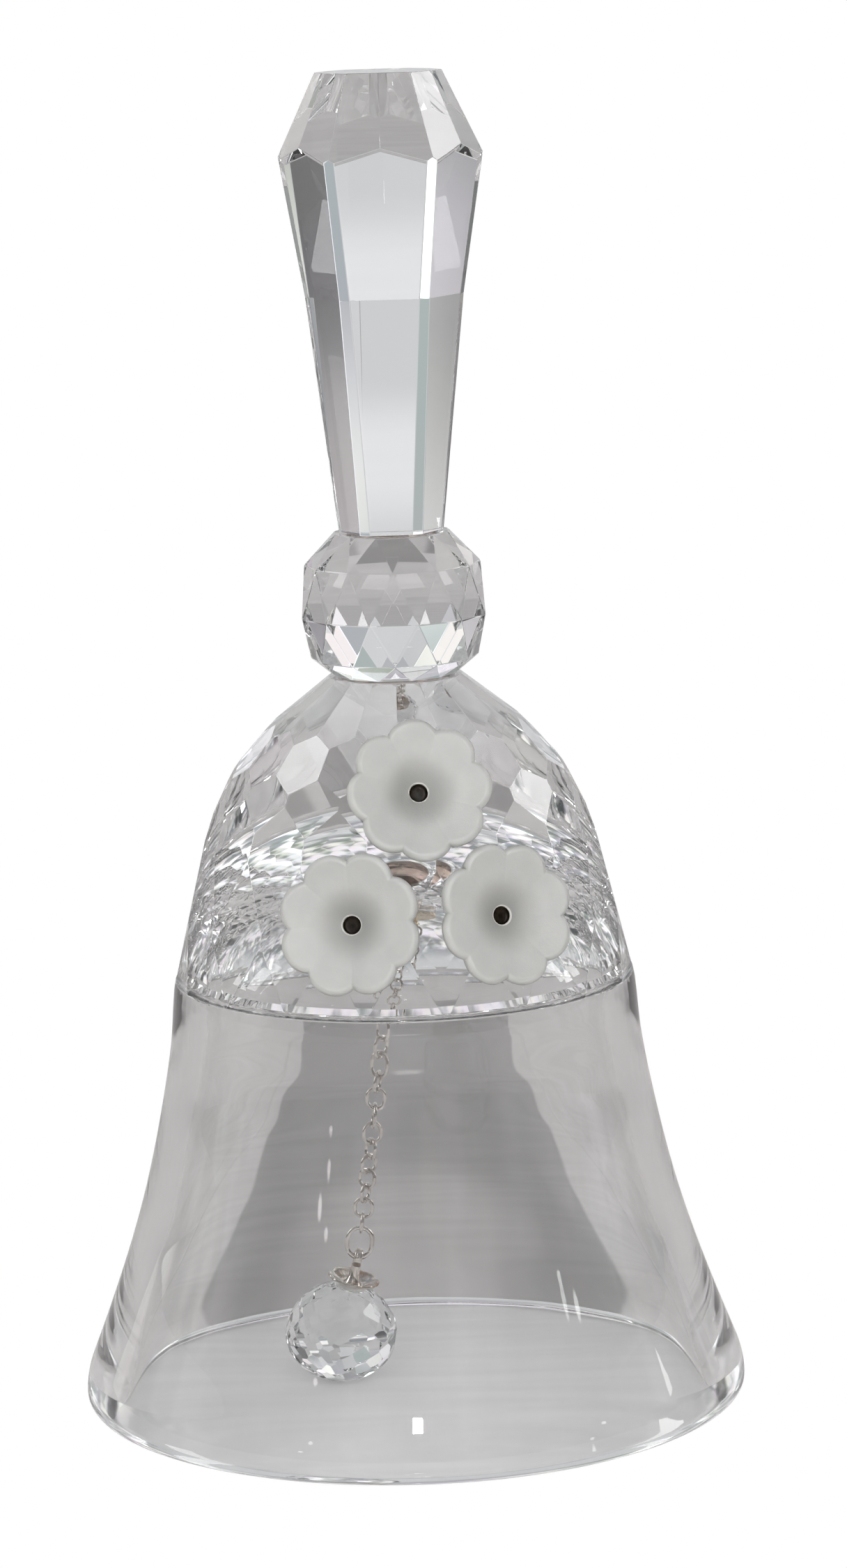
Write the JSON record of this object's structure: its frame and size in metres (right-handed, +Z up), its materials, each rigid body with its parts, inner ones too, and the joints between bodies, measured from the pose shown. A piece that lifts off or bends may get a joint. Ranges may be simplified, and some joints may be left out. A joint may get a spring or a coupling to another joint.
{
  "type": "hand bell",
  "caption": "Small glass hand bell that stands on its rim, with a cut crystal grip and dome, frosted flowers, and a crystal clapper on a fine chain.",
  "frame": {"origin": "centre of the rim's plane, where the bell stands on the table", "axes": "+Z up along the bell's axis to the top of the grip, -Y towards the side with the flowers, +X to the right seen from that side"},
  "size_m": [0.0704, 0.0704, 0.14],
  "materials": {
    "bell_glass": "polished clear lead crystal",
    "cut_crystal": "polished clear cut crystal",
    "frosted_glass": "matte frosted white glass",
    "clear_adhesive": "clear set adhesive",
    "anchor_metal": "plated silver metal",
    "chain_metal": "plated silver wire",
    "cap_metal": "plated silver casting"
  },
  "bodies": {
    "bell": {"bell_shell": "bell_glass", "collar_bond": "clear_adhesive", "collar_ball": "cut_crystal", "grip_bond": "clear_adhesive", "grip_handle": "cut_crystal", "flower_top": "frosted_glass", "flower_left": "frosted_glass", "flower_right": "frosted_glass", "flower_top_pad": "clear_adhesive", "flower_left_pad": "clear_adhesive", "flower_right_pad": "clear_adhesive", "anchor_bond": "clear_adhesive", "anchor_plate": "anchor_metal", "anchor_eye": "anchor_metal"},
    "chain_link_01_body": {"chain_link_01": "chain_metal"},
    "chain_link_02_body": {"chain_link_02": "chain_metal"},
    "chain_link_03_body": {"chain_link_03": "chain_metal"},
    "chain_link_04_body": {"chain_link_04": "chain_metal"},
    "chain_link_05_body": {"chain_link_05": "chain_metal"},
    "chain_link_06_body": {"chain_link_06": "chain_metal"},
    "chain_link_07_body": {"chain_link_07": "chain_metal"},
    "chain_link_08_body": {"chain_link_08": "chain_metal"},
    "chain_link_09_body": {"chain_link_09": "chain_metal"},
    "chain_link_10_body": {"chain_link_10": "chain_metal"},
    "chain_link_11_body": {"chain_link_11": "chain_metal"},
    "chain_link_12_body": {"chain_link_12": "chain_metal"},
    "chain_link_13_body": {"chain_link_13": "chain_metal"},
    "chain_link_14_body": {"chain_link_14": "chain_metal"},
    "chain_link_15_body": {"chain_link_15": "chain_metal"},
    "chain_link_16_body": {"chain_link_16": "chain_metal"},
    "chain_link_17_body": {"chain_link_17": "chain_metal"},
    "chain_link_18_body": {"chain_link_18": "chain_metal"},
    "chain_link_19_body": {"chain_link_19": "chain_metal"},
    "chain_link_20_body": {"chain_link_20": "chain_metal"},
    "chain_link_21_body": {"chain_link_21": "chain_metal"},
    "chain_link_22_body": {"chain_link_22": "chain_metal"},
    "chain_link_23_body": {"chain_link_23": "chain_metal"},
    "jump_ring_body": {"jump_ring": "chain_metal"},
    "clapper": {"clapper_tab": "cap_metal", "clapper_cap": "cap_metal", "clapper_bond": "clear_adhesive", "clapper_ball": "cut_crystal"}
  },
  "joints": [
    {"name": "chain_link_01_swing", "type": "hinge", "parent": "bell", "child": "chain_link_01_body", "pos_m": [0, 0, 0.0562], "axis": [0.1036, 0.9946, 0], "range_deg": [-25, 15]},
    {"name": "chain_link_02_swing", "type": "hinge", "parent": "chain_link_01_body", "child": "chain_link_02_body", "pos_m": [-0.00023, -0.00003, 0.05455], "axis": [-0.9849, -0.1021, 0.1399], "range_deg": [-23, 24]},
    {"name": "chain_link_03_swing", "type": "hinge", "parent": "chain_link_02_body", "child": "chain_link_03_body", "pos_m": [-0.00047, -0.00006, 0.05286], "axis": [0.306, -0.9517, -0.0262], "range_deg": [-17, 25]},
    {"name": "chain_link_04_swing", "type": "hinge", "parent": "chain_link_03_body", "child": "chain_link_04_body", "pos_m": [-0.00071, -0.00009, 0.05116], "axis": [0.8576, 0.4978, -0.129], "range_deg": [-25, 21]},
    {"name": "chain_link_05_swing", "type": "hinge", "parent": "chain_link_04_body", "child": "chain_link_05_body", "pos_m": [-0.00094, -0.00012, 0.04947], "axis": [-0.6626, 0.7447, 0.0799], "range_deg": [-25, 20]},
    {"name": "chain_link_06_swing", "type": "hinge", "parent": "chain_link_05_body", "child": "chain_link_06_body", "pos_m": [-0.00118, -0.00015, 0.04777], "axis": [-0.5821, -0.8075, 0.0958], "range_deg": [-20, 25]},
    {"name": "chain_link_07_swing", "type": "hinge", "parent": "chain_link_06_body", "child": "chain_link_07_body", "pos_m": [-0.00142, -0.00018, 0.04608], "axis": [0.9047, -0.4089, -0.1197], "range_deg": [-24, 25]},
    {"name": "chain_link_08_swing", "type": "hinge", "parent": "chain_link_07_body", "child": "chain_link_08_body", "pos_m": [-0.00166, -0.00021, 0.04438], "axis": [0.2059, 0.9775, -0.046], "range_deg": [-25, 21]},
    {"name": "chain_link_09_swing", "type": "hinge", "parent": "chain_link_08_body", "child": "chain_link_09_body", "pos_m": [-0.0019, -0.00024, 0.04269], "axis": [-0.9903, 0.0024, 0.1389], "range_deg": [-25, 25]},
    {"name": "chain_link_10_swing", "type": "hinge", "parent": "chain_link_09_body", "child": "chain_link_10_body", "pos_m": [-0.00213, -0.00027, 0.04099], "axis": [0.2059, -0.9785, -0.0117], "range_deg": [-23, 25]},
    {"name": "chain_link_11_swing", "type": "hinge", "parent": "chain_link_10_body", "child": "chain_link_11_body", "pos_m": [-0.00237, -0.0003, 0.03929], "axis": [0.9047, 0.4044, -0.134], "range_deg": [-25, 25]},
    {"name": "chain_link_12_swing", "type": "hinge", "parent": "chain_link_11_body", "child": "chain_link_12_body", "pos_m": [-0.00261, -0.00033, 0.0376], "axis": [-0.5821, 0.8103, 0.0674], "range_deg": [-25, 25]},
    {"name": "chain_link_13_swing", "type": "hinge", "parent": "chain_link_12_body", "child": "chain_link_13_body", "pos_m": [-0.00285, -0.00036, 0.0359], "axis": [-0.6626, -0.7414, 0.106], "range_deg": [-25, 25]},
    {"name": "chain_link_14_swing", "type": "hinge", "parent": "chain_link_13_body", "child": "chain_link_14_body", "pos_m": [-0.00308, -0.00039, 0.03421], "axis": [0.8576, -0.502, -0.1115], "range_deg": [-25, 25]},
    {"name": "chain_link_15_swing", "type": "hinge", "parent": "chain_link_14_body", "child": "chain_link_15_body", "pos_m": [-0.00332, -0.00042, 0.03251], "axis": [0.306, 0.9502, -0.0596], "range_deg": [-25, 25]},
    {"name": "chain_link_16_swing", "type": "hinge", "parent": "chain_link_15_body", "child": "chain_link_16_body", "pos_m": [-0.00356, -0.00045, 0.03082], "axis": [-0.9849, 0.1069, 0.1363], "range_deg": [-25, 25]},
    {"name": "chain_link_17_swing", "type": "hinge", "parent": "chain_link_16_body", "child": "chain_link_17_body", "pos_m": [-0.0038, -0.00048, 0.02912], "axis": [0.1035, -0.9946, 0.0029], "range_deg": [-25, 25]},
    {"name": "chain_link_18_swing", "type": "hinge", "parent": "chain_link_17_body", "child": "chain_link_18_body", "pos_m": [-0.00404, -0.00051, 0.02743], "axis": [0.9418, 0.3066, -0.1375], "range_deg": [-25, 25]},
    {"name": "chain_link_19_swing", "type": "hinge", "parent": "chain_link_18_body", "child": "chain_link_19_body", "pos_m": [-0.00427, -0.00053, 0.02573], "axis": [-0.4952, 0.8671, 0.0542], "range_deg": [-25, 25]},
    {"name": "chain_link_20_swing", "type": "hinge", "parent": "chain_link_19_body", "child": "chain_link_20_body", "pos_m": [-0.00451, -0.00056, 0.02404], "axis": [-0.7359, -0.6672, 0.115], "range_deg": [-25, 25]},
    {"name": "chain_link_21_swing", "type": "hinge", "parent": "chain_link_20_body", "child": "chain_link_21_body", "pos_m": [-0.00475, -0.00059, 0.02234], "axis": [0.8012, -0.5897, -0.102], "range_deg": [-25, 25]},
    {"name": "chain_link_22_swing", "type": "hinge", "parent": "chain_link_21_body", "child": "chain_link_22_body", "pos_m": [-0.00499, -0.00062, 0.02065], "axis": [0.4028, 0.9124, -0.0725], "range_deg": [-25, 25]},
    {"name": "chain_link_23_swing", "type": "hinge", "parent": "chain_link_22_body", "child": "chain_link_23_body", "pos_m": [-0.00523, -0.00065, 0.01895], "axis": [-0.9687, 0.2103, 0.1322], "range_deg": [-25, 25]},
    {"name": "jump_ring_swing", "type": "hinge", "parent": "chain_link_23_body", "child": "jump_ring_body", "pos_m": [-0.00546, -0.00068, 0.01725], "axis": [0, -0.9998, 0.0176], "range_deg": [-40, 40]},
    {"name": "clapper_swing", "type": "hinge", "parent": "jump_ring_body", "child": "clapper", "pos_m": [-0.00584, -0.00073, 0.01457], "axis": [0.9903, -0.0024, -0.1389], "range_deg": [-60, 60]}
  ]
}
